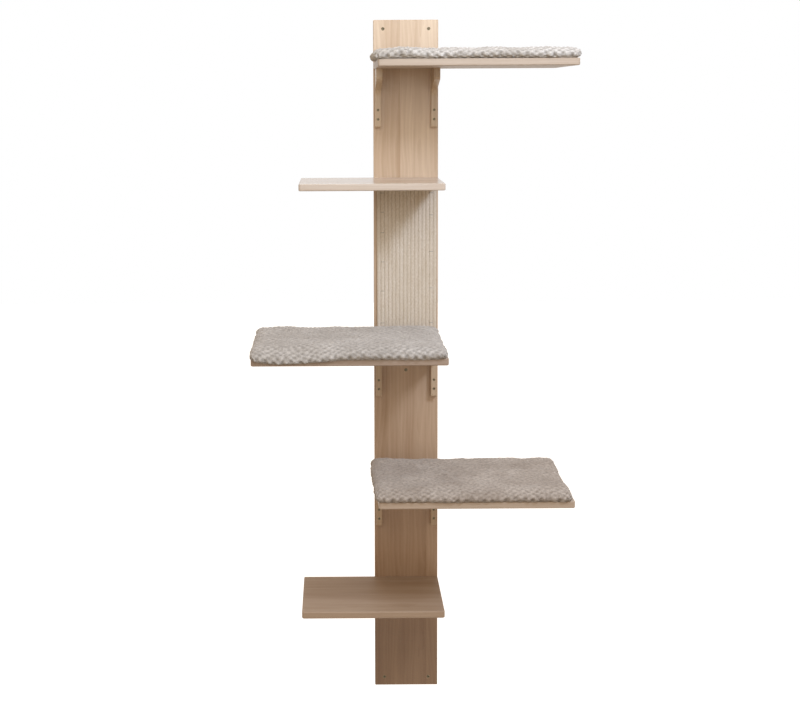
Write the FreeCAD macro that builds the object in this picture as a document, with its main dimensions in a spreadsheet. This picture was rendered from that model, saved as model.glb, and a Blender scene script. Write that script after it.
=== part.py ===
"""Wall mounted cat tree: a tall backboard, five cantilevered shelves that stand out by turns to the
right and to the left, sawn brackets under the three large ones, a ribbed sisal scratching mat and
three loose plush cushions.

Millimetres. The origin is in the middle of the board's back face, on the wall: +X to the right, -Y
out of the wall towards the room, +Z up. Every size is a cell of the sheet "sizes", and every sketch,
feature and placement reads it from there.
"""
import FreeCAD, Part
import math
import os
import Sketcher
from FreeCAD import Vector

SIZES = (
    # backboard
    ("board_width", 176), ("board_height", 1870), ("board_thick", 18), ("board_bevel", 1.5),
    # wall holes: four near the corners and one in the middle, countersunk from the front
    ("wall_hole", 5), ("wall_sink", 10), ("wall_hole_side", 26), ("wall_hole_end", 24),
    ("middle_hole_drop", 105),
    # shelves: widths along X and depths from the board's front face
    ("shelf_thick", 18), ("large_width", 495), ("large_depth", 348), ("small_width", 375),
    ("small_depth", 245), ("shelf_corner_round", 6), ("shelf_bevel", 2),
    # drops: of the top shelf's upper face below the board's upper end, and of each next one below
    # the shelf before it; the middle wall hole's is measured from the third shelf
    ("top_drop", 114), ("second_drop", 313), ("third_drop", 430), ("fourth_drop", 367),
    ("fifth_drop", 328),
    # brackets: a tapered arm under the shelf and a narrow leg on the board
    ("bracket_thick", 16), ("bracket_tall", 158), ("bracket_reach", 120), ("bracket_inset", 4),
    ("leg_depth", 20), ("arm_tip", 29), ("arm_root", 57), ("arm_tip_round", 10),
    ("bracket_curve", 22), ("leg_foot_round", 4),
    # screws: shank, length and head, and where they sit
    ("leg_screw", 3.5), ("leg_screw_long", 35), ("leg_screw_head", 7), ("leg_screw_low", 22),
    ("leg_screw_pitch", 25), ("arm_screw", 4), ("arm_screw_long", 40), ("arm_screw_head", 8),
    ("arm_screw_near", 40), ("arm_screw_far", 92), ("rear_screw", 5), ("rear_screw_long", 60),
    ("rear_screw_head", 10), ("rear_screw_spread", 60), ("screw_sides", 8),
    # fits: round the shanks in their clearance holes, and from the face down to a sunk head
    ("hole_clearance", 0.1), ("head_recess", 0.5),
    # sisal mat
    ("rib_pitch", 10.25), ("rib_count", 16), ("rib_width", 9.5), ("rib_height", 3),
    ("mat_base", 2.5), ("mat_shift", 2.2), ("mat_gap", 4),
    ("staple_wide", 10), ("staple_wire", 1.2), ("staple_leg", 14), ("staple_inset", 15.4),
    ("staple_proud", 0.5),
    # cushions: how far each has slipped along its shelf, and the strips that hold them
    ("cushion_thick", 28), ("cushion_overhang", 4), ("cushion_corner", 22), ("cushion_drawn_in", 3),
    ("cushion_clearance", 27), ("cushion_belly", 12.5), ("cushion_tuck", 12),
    ("cushion_crown_run", 105), ("cushion_steps", 5), ("cushion_tuck_levels", 2),
    ("cushion_crown_levels", 6), ("top_slip", -3), ("third_slip", -3.5), ("fourth_slip", -7.5),
    ("strip_wide", 25), ("strip_long", 250), ("strip_thick", 1.2), ("strip_spread", 150),
)
# From the top down: the word in each shelf's name, its drop's and its slip's, its size cells and the
# side that it stands out to (1 right, -1 left).
SHELVES = (("top", "large", 1), ("second", "small", -1), ("third", "large", -1),
           ("fourth", "large", 1), ("fifth", "small", -1))
# Where the staples sit along the mat's left and right long edges, as shares of its height.
STAPLES_LEFT = (0.06, 0.28, 0.48, 0.68, 0.82, 0.95)
STAPLES_RIGHT = (0.06, 0.30, 0.55, 0.80, 0.95)

doc = FreeCAD.newDocument("cat_tree")
sizes = doc.addObject("Spreadsheet::Sheet", "sizes")
for row, (word, number) in enumerate(SIZES, start=1):
    sizes.set(f"A{row}", word)
    sizes.set(f"B{row}", str(number))
    sizes.setAlias(f"B{row}", word)
doc.recompute()

nodes = []


def size(word):
    return float(sizes.get(word))


def keep(piece, name):
    """Name a finished sub-part after its node."""
    piece.Label = name
    nodes.append(piece)
    return piece


# ---------------------------------------------------------------- sketches and features

def plane(body, role):
    return next(item for item in body.Origin.OriginFeatures if item.Role == role)


def new_sketch(body, name, role, lift):
    """A sketch on one of the body's own planes, lifted off it by an expression."""
    sketch = body.newObject("Sketcher::SketchObject", name)
    sketch.AttachmentSupport = [(plane(body, role), "")]
    sketch.MapMode = "FlatFace"
    if lift:
        sketch.setExpression("AttachmentOffset.Base.z", lift)
    return sketch


def pin(sketch, geometry, point, number, across, up):
    """Hold a point of the sketch, from where it lies now, at two expressions from the origin, or at
    one where across is None."""
    now = sketch.getPoint(geometry, point)
    for kind, label, expression, value in (("DistanceX", "across", across, now.x),
                                           ("DistanceY", "up", up, now.y)):
        if expression is None:
            continue
        index = sketch.addConstraint(Sketcher.Constraint(kind, -1, 1, geometry, point, value))
        sketch.renameConstraint(index, f"{label}{number}")
        sketch.setExpression(f"Constraints.{label}{number}", expression)


def outline(body, name, role, corners, lift=None):
    """A closed outline of straight lines whose corners are pairs of expressions."""
    sketch = new_sketch(body, name, role, lift)
    count = len(corners)
    seeds = [Vector(math.cos(2 * math.pi * i / count), math.sin(2 * math.pi * i / count), 0)
             for i in range(count)]
    for i in range(count):
        sketch.addGeometry(Part.LineSegment(seeds[i], seeds[(i + 1) % count]))
    for i in range(count):
        sketch.addConstraint(Sketcher.Constraint("Coincident", i, 2, (i + 1) % count, 1))
    for i, (across, up) in enumerate(corners):
        pin(sketch, i, 1, i, across, up)
    return sketch


def circles(body, name, role, centres, diameter, lift=None):
    """Circles of one diameter whose centres are pairs of expressions."""
    sketch = new_sketch(body, name, role, lift)
    for i, (across, up) in enumerate(centres):
        sketch.addGeometry(Part.Circle(Vector(1.0 + i, 1.0 + i, 0), Vector(0, 0, 1), 1.0))
        pin(sketch, i, 3, i, across, up)
        index = sketch.addConstraint(Sketcher.Constraint("Diameter", i, 2.0))
        sketch.renameConstraint(index, f"wide{i}")
        sketch.setExpression(f"Constraints.wide{i}", diameter)
    return sketch


def pad(body, sketch, length, middle=False):
    feature = body.newObject("PartDesign::Pad", sketch.Name + "_pad")
    feature.Profile = sketch
    feature.Midplane = middle
    feature.setExpression("Length", length)
    doc.recompute()
    return feature


def cut_holes(body, sketch, diameter, sink, reverse=False):
    """Holes through the piece at a sketch's circles, countersunk at 90 degrees."""
    before = body.Shape.Volume
    feature = body.newObject("PartDesign::Hole", sketch.Name + "_cut")
    feature.Profile = sketch
    doc.recompute()
    feature.ThreadType = "None"
    feature.setExpression("Diameter", diameter)
    feature.Reversed = reverse
    feature.DepthType = "ThroughAll"
    feature.HoleCutType = "Countersink"
    feature.HoleCutCountersinkAngle = 90
    feature.setExpression("HoleCutDiameter", sink)
    doc.recompute()
    if not feature.Shape.Volume < before:
        raise RuntimeError(f"{body.Label}: {sketch.Name} cuts nothing")
    return feature


def edges_where(shape, test):
    """Names of the edges that pass a test of their middle point and their direction there."""
    names = []
    for number, edge in enumerate(shape.Edges, start=1):
        middle = (edge.FirstParameter + edge.LastParameter) / 2
        if test(edge.valueAt(middle), edge.tangentAt(middle)):
            names.append(f"Edge{number}")
    return names


def dress_edges(body, kind, name, radius, test):
    """A fillet or a chamfer of one size on the edges that pass the test."""
    base = body.Tip
    names = edges_where(base.Shape, test)
    if not names:
        raise RuntimeError(f"{body.Label}: {name} finds no edge")
    feature = body.newObject(f"PartDesign::{kind}", name)
    feature.Base = (base, names)
    feature.setExpression("Radius" if kind == "Fillet" else "Size", radius)
    doc.recompute()
    return feature


def place(piece, across="0", out="0", up="0"):
    piece.setExpression("Placement.Base.x", across)
    piece.setExpression("Placement.Base.y", out)
    piece.setExpression("Placement.Base.z", up)


def near(value, target):
    return abs(value - target) < 1e-4


# ---------------------------------------------------------------- places, as expressions

def drops(shelf):
    """The cells whose sum is the drop of a shelf's upper face below the board's upper end."""
    words = [word for word, kind, stands in SHELVES]
    return [f"{word}_drop" for word in words[:words.index(shelf) + 1]]


def upper_face(shelf):
    """Z of a shelf's upper face."""
    return " - ".join(["sizes.board_height / 2"] + [f"sizes.{cell}" for cell in drops(shelf)])


def underside(shelf):
    """Z of a shelf's underside."""
    return f"{upper_face(shelf)} - sizes.shelf_thick"


SHELF_MIDDLE = "sizes.shelf_thick / 2"
BRACKET_X = "(sizes.board_width / 2 - sizes.bracket_inset - sizes.bracket_thick / 2)"
BOARD_FRONT = "-sizes.board_thick"
LEG_SCREW_ROWS = (
    "-sizes.bracket_tall + sizes.leg_screw_low",
    "-sizes.bracket_tall + sizes.leg_screw_low + sizes.leg_screw_pitch",
)
ARM_SCREW_ROWS = ("sizes.arm_screw_near", "sizes.arm_screw_far")
REAR_SCREW_COLUMNS = ("-sizes.rear_screw_spread", "0", "sizes.rear_screw_spread")


def drill(word):
    """Diameter of the clearance hole for a screw."""
    return f"sizes.{word} + 2 * sizes.hole_clearance"


def sink(word):
    """Width at the face of the countersink that lets a screw's head down by its recess."""
    return f"sizes.{word}_head + 2 * (sizes.head_recess + sizes.hole_clearance)"


# ---------------------------------------------------------------- wooden pieces

def make_backboard():
    """The tall board, its wall holes and the holes for the small shelves' rear screws."""
    body = doc.addObject("PartDesign::Body", "backboard")
    side = "sizes.board_width / 2"
    end = "sizes.board_height / 2"
    corners = [(f"-{side}", f"-{end}"), (side, f"-{end}"), (side, end), (f"-{side}", end)]
    pad(body, outline(body, "board_face", "XZ_Plane", corners), "sizes.board_thick")
    dress_edges(body, "Chamfer", "board_bevel", "sizes.board_bevel", lambda point, run: True)

    column = "(sizes.board_width / 2 - sizes.wall_hole_side)"
    row = "(sizes.board_height / 2 - sizes.wall_hole_end)"
    centres = [(f"{a}{column}", f"{b}{row}") for a in ("-", "") for b in ("-", "")]
    centres.append(("0", f"{upper_face('third')} - sizes.middle_hole_drop"))
    wall = circles(body, "wall_holes", "XZ_Plane", centres, "sizes.wall_hole", "sizes.board_thick")
    cut_holes(body, wall, "sizes.wall_hole", "sizes.wall_sink")

    rear = [(across, f"{underside(shelf)} + {SHELF_MIDDLE}")
            for shelf, kind, stands in SHELVES if kind == "small"
            for across in REAR_SCREW_COLUMNS]
    rear_sketch = circles(body, "rear_screw_holes", "XZ_Plane", rear, drill("rear_screw"))
    cut_holes(body, rear_sketch, drill("rear_screw"), sink("rear_screw"), reverse=True)
    return keep(body, "backboard")


def make_shelf(shelf, kind, stands):
    """A shelf board, flush with one edge of the backboard, its rear edge square against it."""
    name = f"shelf_{shelf}"
    body = doc.addObject("PartDesign::Body", name)
    flush = f"{-stands} * sizes.board_width / 2"
    free = f"{-stands} * sizes.board_width / 2 + {stands} * sizes.{kind}_width"
    front = f"-sizes.{kind}_depth"
    corners = [(flush, "0"), (free, "0"), (free, front), (flush, front)]
    pad(body, outline(body, name + "_plan", "XY_Plane", corners), "sizes.shelf_thick")
    dress_edges(body, "Fillet", name + "_corners", "sizes.shelf_corner_round",
                lambda point, run: abs(run.z) > 0.99 and not near(point.y, 0))
    dress_edges(body, "Chamfer", name + "_bevel", "sizes.shelf_bevel",
                lambda point, run: abs(run.z) < 0.01 and not near(point.y, 0))

    if kind == "large":
        down = [(f"{a}{BRACKET_X}", f"-{out}") for a in ("-", "") for out in ARM_SCREW_ROWS]
        arm_sketch = circles(body, name + "_arm", "XY_Plane", down, drill("arm_screw"),
                             "sizes.shelf_thick")
        cut_holes(body, arm_sketch, drill("arm_screw"), sink("arm_screw"))
    place(body, out=BOARD_FRONT, up=underside(shelf))
    return keep(body, name)


def make_bracket(shelf, side, hand):
    """A sawn bracket: a tapered arm under the shelf, an inside curve and a narrow leg. Its corner
    between the board and the shelf is its own origin."""
    name = f"bracket_{shelf}_{side}"
    body = doc.addObject("PartDesign::Body", name)
    corners = [
        ("0", "0"),
        ("-sizes.bracket_reach", "0"),
        ("-sizes.bracket_reach", "-sizes.arm_tip"),
        ("-sizes.leg_depth", "-sizes.arm_root"),
        ("-sizes.leg_depth", "-sizes.bracket_tall"),
        ("0", "-sizes.bracket_tall"),
    ]
    profile = outline(body, name + "_profile", "YZ_Plane", corners)
    pad(body, profile, "sizes.bracket_thick", middle=True)
    reach, tip = -size("bracket_reach"), -size("arm_tip")
    leg, root, foot = -size("leg_depth"), -size("arm_root"), -size("bracket_tall")
    for label, radius, out, up in (("curve", "bracket_curve", leg, root),
                                   ("tip", "arm_tip_round", reach, tip),
                                   ("foot", "leg_foot_round", leg, foot)):
        dress_edges(body, "Fillet", f"{name}_{label}", f"sizes.{radius}",
                    lambda point, run: near(point.y, out) and near(point.z, up))

    leg_holes = [("0", row) for row in LEG_SCREW_ROWS]
    leg_sketch = circles(body, name + "_leg", "XZ_Plane", leg_holes, drill("leg_screw"),
                         "sizes.leg_depth")
    cut_holes(body, leg_sketch, drill("leg_screw"), sink("leg_screw"))
    place(body, f"{hand} * {BRACKET_X}", BOARD_FRONT, underside(shelf))
    return keep(body, name)


# ---------------------------------------------------------------- lofts with flat facets

FLAT = 1e-6


def flat_faces(*corners):
    """The one flat face with four given corners, or the two triangles where they don't lie in one
    plane."""
    a, b, c, d = corners
    if abs((b - a).cross(d - a).dot(c - a)) < FLAT:
        return [Part.Face(Part.makePolygon([a, b, c, d, a]))]
    return [Part.Face(Part.makePolygon([a, b, c, a])), Part.Face(Part.makePolygon([c, d, a, c]))]


def loft_rings(rings):
    """A closed solid through level rings of as many points each, with flat facets from ring to ring
    and a flat end at the first and the last."""
    faces = [Part.Face(Part.makePolygon(points + points[:1])) for points in (rings[0], rings[-1])]
    for lower, upper in zip(rings, rings[1:]):
        for i in range(len(lower)):
            j = (i + 1) % len(lower)
            faces += flat_faces(lower[i], lower[j], upper[j], upper[i])
    return Part.makeSolid(Part.makeShell(faces))


# ---------------------------------------------------------------- fasteners

def screw(word):
    """A countersunk wood screw that points along -Z, the middle of its flat head at the origin. Its
    many-sided shank and head lie just inside the round ones."""
    shank = size(word) / 2
    head = size(f"{word}_head") / 2
    long = size(f"{word}_long")
    sides = int(size("screw_sides"))
    turns = [2 * math.pi * i / sides for i in range(sides)]
    levels = ((head, 0), (shank, shank - head), (shank, 2 * shank - long), (shank / 3, -long))
    return loft_rings([[Vector(radius * math.cos(turn), radius * math.sin(turn), z)
                        for turn in turns] for radius, z in levels])


def group(name, pattern, spots, turn):
    """Copies of one fastener, turned alike, as the separate solids of one node."""
    copies = []
    for spot in spots:
        copy = pattern.copy()
        copy.Placement = FreeCAD.Placement(spot, turn)
        copies.append(copy)
    piece = doc.addObject("Part::Feature", name)
    piece.Shape = Part.makeCompound(copies)
    return keep(piece, name)


INTO_WALL = FreeCAD.Rotation(Vector(1, 0, 0), 90)
OUT_OF_WALL = FreeCAD.Rotation(Vector(1, 0, 0), -90)
DOWN = FreeCAD.Rotation()


def shelf_top(shelf):
    return size("board_height") / 2 - sum(size(cell) for cell in drops(shelf))


def shelf_bottom(shelf):
    return shelf_top(shelf) - size("shelf_thick")


def bracket_x():
    return size("board_width") / 2 - size("bracket_inset") - size("bracket_thick") / 2


def make_fasteners():
    front = -size("board_thick")
    recess = size("head_recess")
    rear = []
    for shelf, kind, stands in SHELVES:
        bottom = shelf_bottom(shelf)
        if kind == "small":
            middle = bottom + size("shelf_thick") / 2
            columns = (-size("rear_screw_spread"), 0, size("rear_screw_spread"))
            rear += [Vector(x, -recess, middle) for x in columns]
            continue
        sides = (-bracket_x(), bracket_x())
        foot = bottom - size("bracket_tall") + size("leg_screw_low")
        legs = [Vector(x, front - size("leg_depth") + recess, z)
                for x in sides for z in (foot, foot + size("leg_screw_pitch"))]
        arms = [Vector(x, front - out, shelf_top(shelf) - recess)
                for x in sides for out in (size("arm_screw_near"), size("arm_screw_far"))]
        group(f"leg_screws_{shelf}", screw("leg_screw"), legs, INTO_WALL)
        group(f"arm_screws_{shelf}", screw("arm_screw"), arms, DOWN)
    group("rear_screws", screw("rear_screw"), rear, OUT_OF_WALL)


# ---------------------------------------------------------------- sisal mat

def make_mat():
    """The scratching mat: a flat base and upright ribs, each a low arch, between the second shelf's
    underside and the third shelf's top."""
    body = doc.addObject("PartDesign::Body", "sisal_mat")
    half = "sizes.rib_count * sizes.rib_pitch / 2"
    tall = "sizes.third_drop - sizes.shelf_thick - 2 * sizes.mat_gap"
    corners = [(f"-{half}", "0"), (half, "0"), (half, "-sizes.mat_base"),
               (f"-{half}", "-sizes.mat_base")]
    pad(body, outline(body, "mat_section", "XY_Plane", corners), tall)

    rib = new_sketch(body, "rib_section", "XY_Plane", None)
    wide, face = size("rib_width") / 2, -size("mat_base")
    middle = (1 - size("rib_count")) * size("rib_pitch") / 2
    left, right = Vector(middle - wide, face, 0), Vector(middle + wide, face, 0)
    rib.addGeometry(Part.Arc(left, Vector(middle, face - size("rib_height"), 0), right))
    rib.addGeometry(Part.LineSegment(right, left))
    rib.addConstraint(Sketcher.Constraint("Coincident", 0, 1, 1, 2))
    rib.addConstraint(Sketcher.Constraint("Coincident", 0, 2, 1, 1))
    first = f"-{half} + sizes.rib_pitch / 2"
    pin(rib, 1, 2, 0, f"{first} - sizes.rib_width / 2", "-sizes.mat_base")
    pin(rib, 1, 1, 1, f"{first} + sizes.rib_width / 2", "-sizes.mat_base")
    pin(rib, 0, 3, 2, None, "-sizes.mat_base - sizes.rib_height"
        " + (sizes.rib_width ^ 2 / 4 + sizes.rib_height ^ 2) / (2 * sizes.rib_height)")
    pad(body, rib, tall)

    ribs = body.newObject("PartDesign::LinearPattern", "ribs")
    ribs.Originals = [body.Tip]
    ribs.Direction = (plane(body, "X_Axis"), [""])
    ribs.setExpression("Length", "(sizes.rib_count - 1) * sizes.rib_pitch")
    ribs.setExpression("Occurrences", "sizes.rib_count")
    body.Tip = ribs
    doc.recompute()
    place(body, "sizes.mat_shift", BOARD_FRONT, f"{upper_face('third')} + sizes.mat_gap")
    return keep(body, "sisal_mat")


def make_staples():
    """Staples across the mat's edge ribs, their legs driven through it into the board."""
    wire = size("staple_wire")
    wide = size("staple_wide")
    leg = size("staple_leg")
    crown = Part.makeBox(wide, wire, wire, Vector(-wide / 2, 0, -wire / 2))
    legs = [Part.makeBox(wire, leg, wire, Vector(x, 0, -wire / 2))
            for x in (-wide / 2, wide / 2 - wire)]
    staple = crown.multiFuse(legs).removeSplitter()
    half = size("rib_count") * size("rib_pitch") / 2 - size("staple_inset")
    face = -size("board_thick") - size("mat_base") - size("rib_height") - size("staple_proud")
    foot = shelf_top("third") + size("mat_gap")
    tall = shelf_bottom("second") - size("mat_gap") - foot
    spots = [Vector(size("mat_shift") + side * half, face, foot + share * tall)
             for side, shares in ((-1, STAPLES_LEFT), (1, STAPLES_RIGHT)) for share in shares]
    return group("mat_staples", staple, spots, FreeCAD.Rotation())


# ---------------------------------------------------------------- cushions

def direction(turn):
    """Unit vector in the level plane, an angle round from +X."""
    return Vector(math.cos(turn), math.sin(turn), 0)


def cushion_ring(half_x, half_y, drawn, z):
    """Points round a cushion at one level: round corners, and sides that bow inwards a little."""
    steps = int(size("cushion_steps"))
    corner = size("cushion_corner")
    shares = [step / steps for step in range(steps + 1)]
    quarters = []
    for i, (side_x, side_y) in enumerate(((1, 1), (-1, 1), (-1, -1), (1, -1))):
        centre = Vector(side_x * (half_x - corner), side_y * (half_y - corner), z)
        quarters.append([centre + direction(math.pi / 2 * (i + share)) * corner for share in shares])
    points = []
    for i, quarter in enumerate(quarters):
        run = quarters[(i + 1) % 4][0] - quarter[-1]
        outward = direction(math.pi / 2 * (i + 1))
        points += quarter
        points += [quarter[-1] + run * share - outward * drawn * 4 * share * (1 - share)
                   for share in shares[1:-1]]
    return points


def cushion_rings(half_x, half_y):
    """A cushion's outlines from its underside up: tucked in below its belly, crowned above it."""
    belly = size("cushion_belly")
    rise = size("cushion_thick") - belly
    below = int(size("cushion_tuck_levels"))
    above = int(size("cushion_crown_levels"))
    levels = []
    for turn in (math.pi / 2 * level / below for level in range(-below, 0)):
        levels.append((size("cushion_tuck") * (1 - math.cos(turn)), belly * (1 + math.sin(turn)), turn))
    for turn in (math.pi / 2 * level / above for level in range(above + 1)):
        inset = size("cushion_crown_run") * (1 - math.cos(turn)) ** 2
        levels.append((inset, belly + rise * math.sin(turn), turn))
    return [cushion_ring(half_x - inset, half_y - inset, size("cushion_drawn_in") * math.cos(turn), z)
            for inset, z, turn in levels]


def cushion_back():
    """Y of a cushion's rear edge, clear of the mat's ribs."""
    return -size("board_thick") - size("mat_base") - size("rib_height") - size("cushion_clearance")


def make_cushion(shelf, stands):
    """A loose plush cushion with a crown, a little wider than its shelf."""
    name = f"cushion_{shelf}"
    half_x = size("large_width") / 2 + size("cushion_overhang")
    front = -size("board_thick") - size("large_depth") - size("cushion_overhang")
    half_y = (cushion_back() - front) / 2
    piece = doc.addObject("Part::Feature", name)
    piece.Shape = loft_rings(cushion_rings(half_x, half_y))
    middle = stands * (size("large_width") - size("board_width")) / 2 + size(f"{shelf}_slip")
    seat = shelf_top(shelf) + 2 * size("strip_thick")
    piece.Placement.Base = Vector(middle, (cushion_back() + front) / 2, seat)
    return keep(piece, name)


def make_strips(name, shelf, stands, level):
    """Two flat strips along the depth of a large shelf: hooks on the shelf, loops on the cushion."""
    middle = stands * (size("large_width") - size("board_width")) / 2
    depth = -size("board_thick") - size("large_depth") / 2
    base = shelf_top(shelf) + level * size("strip_thick")
    strip = Part.makeBox(size("strip_wide"), size("strip_long"), size("strip_thick"),
                         Vector(-size("strip_wide") / 2, -size("strip_long") / 2, 0))
    spots = [Vector(middle + side * size("strip_spread"), depth, base) for side in (-1, 1)]
    return group(name, strip, spots, FreeCAD.Rotation())


# ---------------------------------------------------------------- the whole tree

make_backboard()
for shelf, kind, stands in SHELVES:
    make_shelf(shelf, kind, stands)
    if kind == "large":
        make_bracket(shelf, "left", -1)
        make_bracket(shelf, "right", 1)
        make_strips(f"hook_strips_{shelf}", shelf, stands, 0)
        make_strips(f"loop_strips_{shelf}", shelf, stands, 1)
        make_cushion(shelf, stands)
make_fasteners()
make_mat()
make_staples()
doc.recompute()

for item in doc.Objects:
    if "Invalid" in item.State or "Error" in item.State:
        raise RuntimeError(f"{item.Label}: {item.State}")
for piece in nodes:
    if piece.Shape.isNull() or not piece.Shape.isValid() or not piece.Shape.Solids:
        raise RuntimeError(f"{piece.Label}: no valid solid")

os.makedirs("parts", exist_ok=True)
for piece in nodes:
    piece.Shape.exportStep(f"parts/{piece.Label}.step")
    box = piece.Shape.optimalBoundingBox()
    print(f"{piece.Label:24s} {len(piece.Shape.Solids):2d} solids "
          f"{piece.Shape.Volume / 1000:9.2f} cm3  {box.XLength:7.1f} {box.YLength:7.1f} {box.ZLength:7.1f}")
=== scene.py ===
# %% [markdown]
# # A wall mounted cat tree
#
# The real thing is a plank on a wall with five shelves that stand out by turns to the right and to
# the left. Three of them rest on sawn brackets and carry loose plush cushions, and a mat of sisal
# cords between the second and the third shelf is there to be scratched. The construction is loaded
# ready made, with every piece at its real place, and this lesson gives it its looks: wood that is
# glued from strips, twisted cords, plush with rows of bobbles, and zinc plated screws.
#
# Lengths are in metres. +X is to the right, +Y goes into the wall and +Z goes up. The origin lies in
# the middle of the plank's back face.

# %% Load the construction
import functools
import math
import random

import bmesh
import bpy
import numpy as np
from mathutils import Matrix, Vector


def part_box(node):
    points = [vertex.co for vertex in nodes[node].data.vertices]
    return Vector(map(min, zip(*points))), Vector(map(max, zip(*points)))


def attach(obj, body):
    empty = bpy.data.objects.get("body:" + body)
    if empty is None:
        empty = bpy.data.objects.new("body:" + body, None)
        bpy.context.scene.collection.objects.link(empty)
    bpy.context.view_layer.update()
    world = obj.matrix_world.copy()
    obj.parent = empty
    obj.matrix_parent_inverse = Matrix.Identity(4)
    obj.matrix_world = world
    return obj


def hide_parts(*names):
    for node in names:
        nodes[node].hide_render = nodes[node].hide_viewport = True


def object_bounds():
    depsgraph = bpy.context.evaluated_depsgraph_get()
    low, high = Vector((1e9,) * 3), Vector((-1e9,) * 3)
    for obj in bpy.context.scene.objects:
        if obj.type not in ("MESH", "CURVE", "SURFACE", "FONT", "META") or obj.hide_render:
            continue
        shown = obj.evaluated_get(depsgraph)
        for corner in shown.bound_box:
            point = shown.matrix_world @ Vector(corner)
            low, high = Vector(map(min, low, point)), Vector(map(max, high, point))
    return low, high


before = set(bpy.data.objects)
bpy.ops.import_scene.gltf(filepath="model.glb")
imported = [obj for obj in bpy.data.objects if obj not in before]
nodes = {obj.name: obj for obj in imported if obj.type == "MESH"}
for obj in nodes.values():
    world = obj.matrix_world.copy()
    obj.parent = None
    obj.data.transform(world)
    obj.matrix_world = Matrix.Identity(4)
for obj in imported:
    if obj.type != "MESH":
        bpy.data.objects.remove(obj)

construction_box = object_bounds()
LARGE_SHELVES = ("top", "third", "fourth")
MM = 0.001

# %% A new object
def placed(name, data):
    """A new object with its data, in the scene."""
    thing = bpy.data.objects.new(name, data)
    bpy.context.scene.collection.objects.link(thing)
    return thing


print("ready to place objects")

# %% [markdown]
# ## The camera
#
# The photograph was taken from the left of the plank and a little above its middle, looking down by
# five degrees. Upright lines stay upright in it although the picture is centred well below the
# horizon, because the picture is a crop: the optical axis doesn't pass through its middle. The
# lens's shift says how far off it is, in shares of the picture's width.

# %% Camera
PHOTO_WIDE, PHOTO_TALL = 800, 710
FOCAL_PIXELS = 1259.26
AXIS_PIXEL = (336.99, 209.59)
SENSOR = 36.0
CAMERA_PLACE = Vector((-0.19239, -3.45569, 0.73285))
LOOKS_DOWN, TURNS_RIGHT, ROLLS = math.radians(5.19), math.radians(0.06), math.radians(-0.33)

lens = bpy.data.cameras.new("photo_camera")
lens.sensor_width = SENSOR
lens.lens = FOCAL_PIXELS / PHOTO_WIDE * SENSOR
lens.shift_x = (PHOTO_WIDE / 2 - AXIS_PIXEL[0]) / PHOTO_WIDE
lens.shift_y = (AXIS_PIXEL[1] - PHOTO_TALL / 2) / PHOTO_WIDE
camera = placed("photo_camera", lens)
camera.matrix_world = (Matrix.Translation(CAMERA_PLACE)
                       @ Matrix.Rotation(-TURNS_RIGHT, 4, "Z")
                       @ Matrix.Rotation(math.radians(90) - LOOKS_DOWN, 4, "X")
                       @ Matrix.Rotation(ROLLS, 4, "Z"))
bpy.context.scene.camera = camera
print(f"lens {lens.lens:.1f} mm, shifted by {lens.shift_x:.3f} and {lens.shift_y:.3f}")

# %% [markdown]
# ## Helpers for shader nodes
#
# A material is a tree of nodes. A few small helpers keep the trees readable: one adds a node and
# fills or links its sockets, and others do sums, mix two colours, move a value to another range or
# make noise. Effects that several materials share are node groups, with named inputs and outputs.

# %% Node helpers
COLOUR, NUMBER, VECTOR = "NodeSocketColor", "NodeSocketFloat", "NodeSocketVector"


def set_sockets(tree, node, sockets):
    """Set a node's inputs to values, or link them to other nodes' outputs."""
    for word, value in sockets.items():
        if isinstance(value, bpy.types.NodeSocket):
            tree.links.new(value, node.inputs[word])
        else:
            node.inputs[word].default_value = value


def put(tree, kind, settings=None, sockets=None):
    """A new node, with its settings and its inputs filled in."""
    node = tree.nodes.new(kind)
    for word, value in (settings or {}).items():
        setattr(node, word, value)
    set_sockets(tree, node, sockets or {})
    return node


def sum_of(tree, operation, first, second=0.0, third=0.0):
    """The result of a Math node."""
    return put(tree, "ShaderNodeMath", {"operation": operation},
               {0: first, 1: second, 2: third}).outputs[0]


def mixed(tree, share, first, second, way="MIX"):
    """The result of mixing two colours."""
    node = put(tree, "ShaderNodeMix", {"data_type": "RGBA", "blend_type": way},
               {0: share, 6: first, 7: second})
    return node.outputs[2]


def spread(tree, value, low, high, to_low=0.0, to_high=1.0):
    """A value moved from one range to another, and held inside it."""
    node = put(tree, "ShaderNodeMapRange", {"clamp": True},
               {"Value": value, "From Min": low, "From Max": high, "To Min": to_low,
                "To Max": to_high})
    return node.outputs[0]


def noise(tree, vector, stretch, detail=2.0, rough=0.5):
    """Smooth noise between 0 and 1, stretched by three scales."""
    scaled = put(tree, "ShaderNodeVectorMath", {"operation": "MULTIPLY"},
                 {0: vector, 1: stretch}).outputs[0]
    return put(tree, "ShaderNodeTexNoise", {"noise_dimensions": "3D"},
               {"Vector": scaled, "Scale": 1.0, "Detail": detail, "Roughness": rough}).outputs[0]


def new_group(name, takes, gives):
    """An empty node group with named sockets, and its input's and output's nodes."""
    group = bpy.data.node_groups.new(name, "ShaderNodeTree")
    for word, kind, value in takes:
        group.interface.new_socket(word, in_out="INPUT", socket_type=kind).default_value = value
    for word, kind in gives:
        group.interface.new_socket(word, in_out="OUTPUT", socket_type=kind)
    return (group, put(group, "NodeGroupInput").outputs, put(group, "NodeGroupOutput").inputs)


def use_group(tree, group, sockets):
    """Place a group in a tree, and give its outputs."""
    return put(tree, "ShaderNodeGroup", {"node_tree": group}, sockets).outputs


print("node helpers ready")

# %% Material helpers
def empty_tree(thing):
    """The node tree of a material or a world, with nothing in it."""
    thing.use_nodes = True
    thing.node_tree.nodes.clear()
    return thing.node_tree


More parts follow.
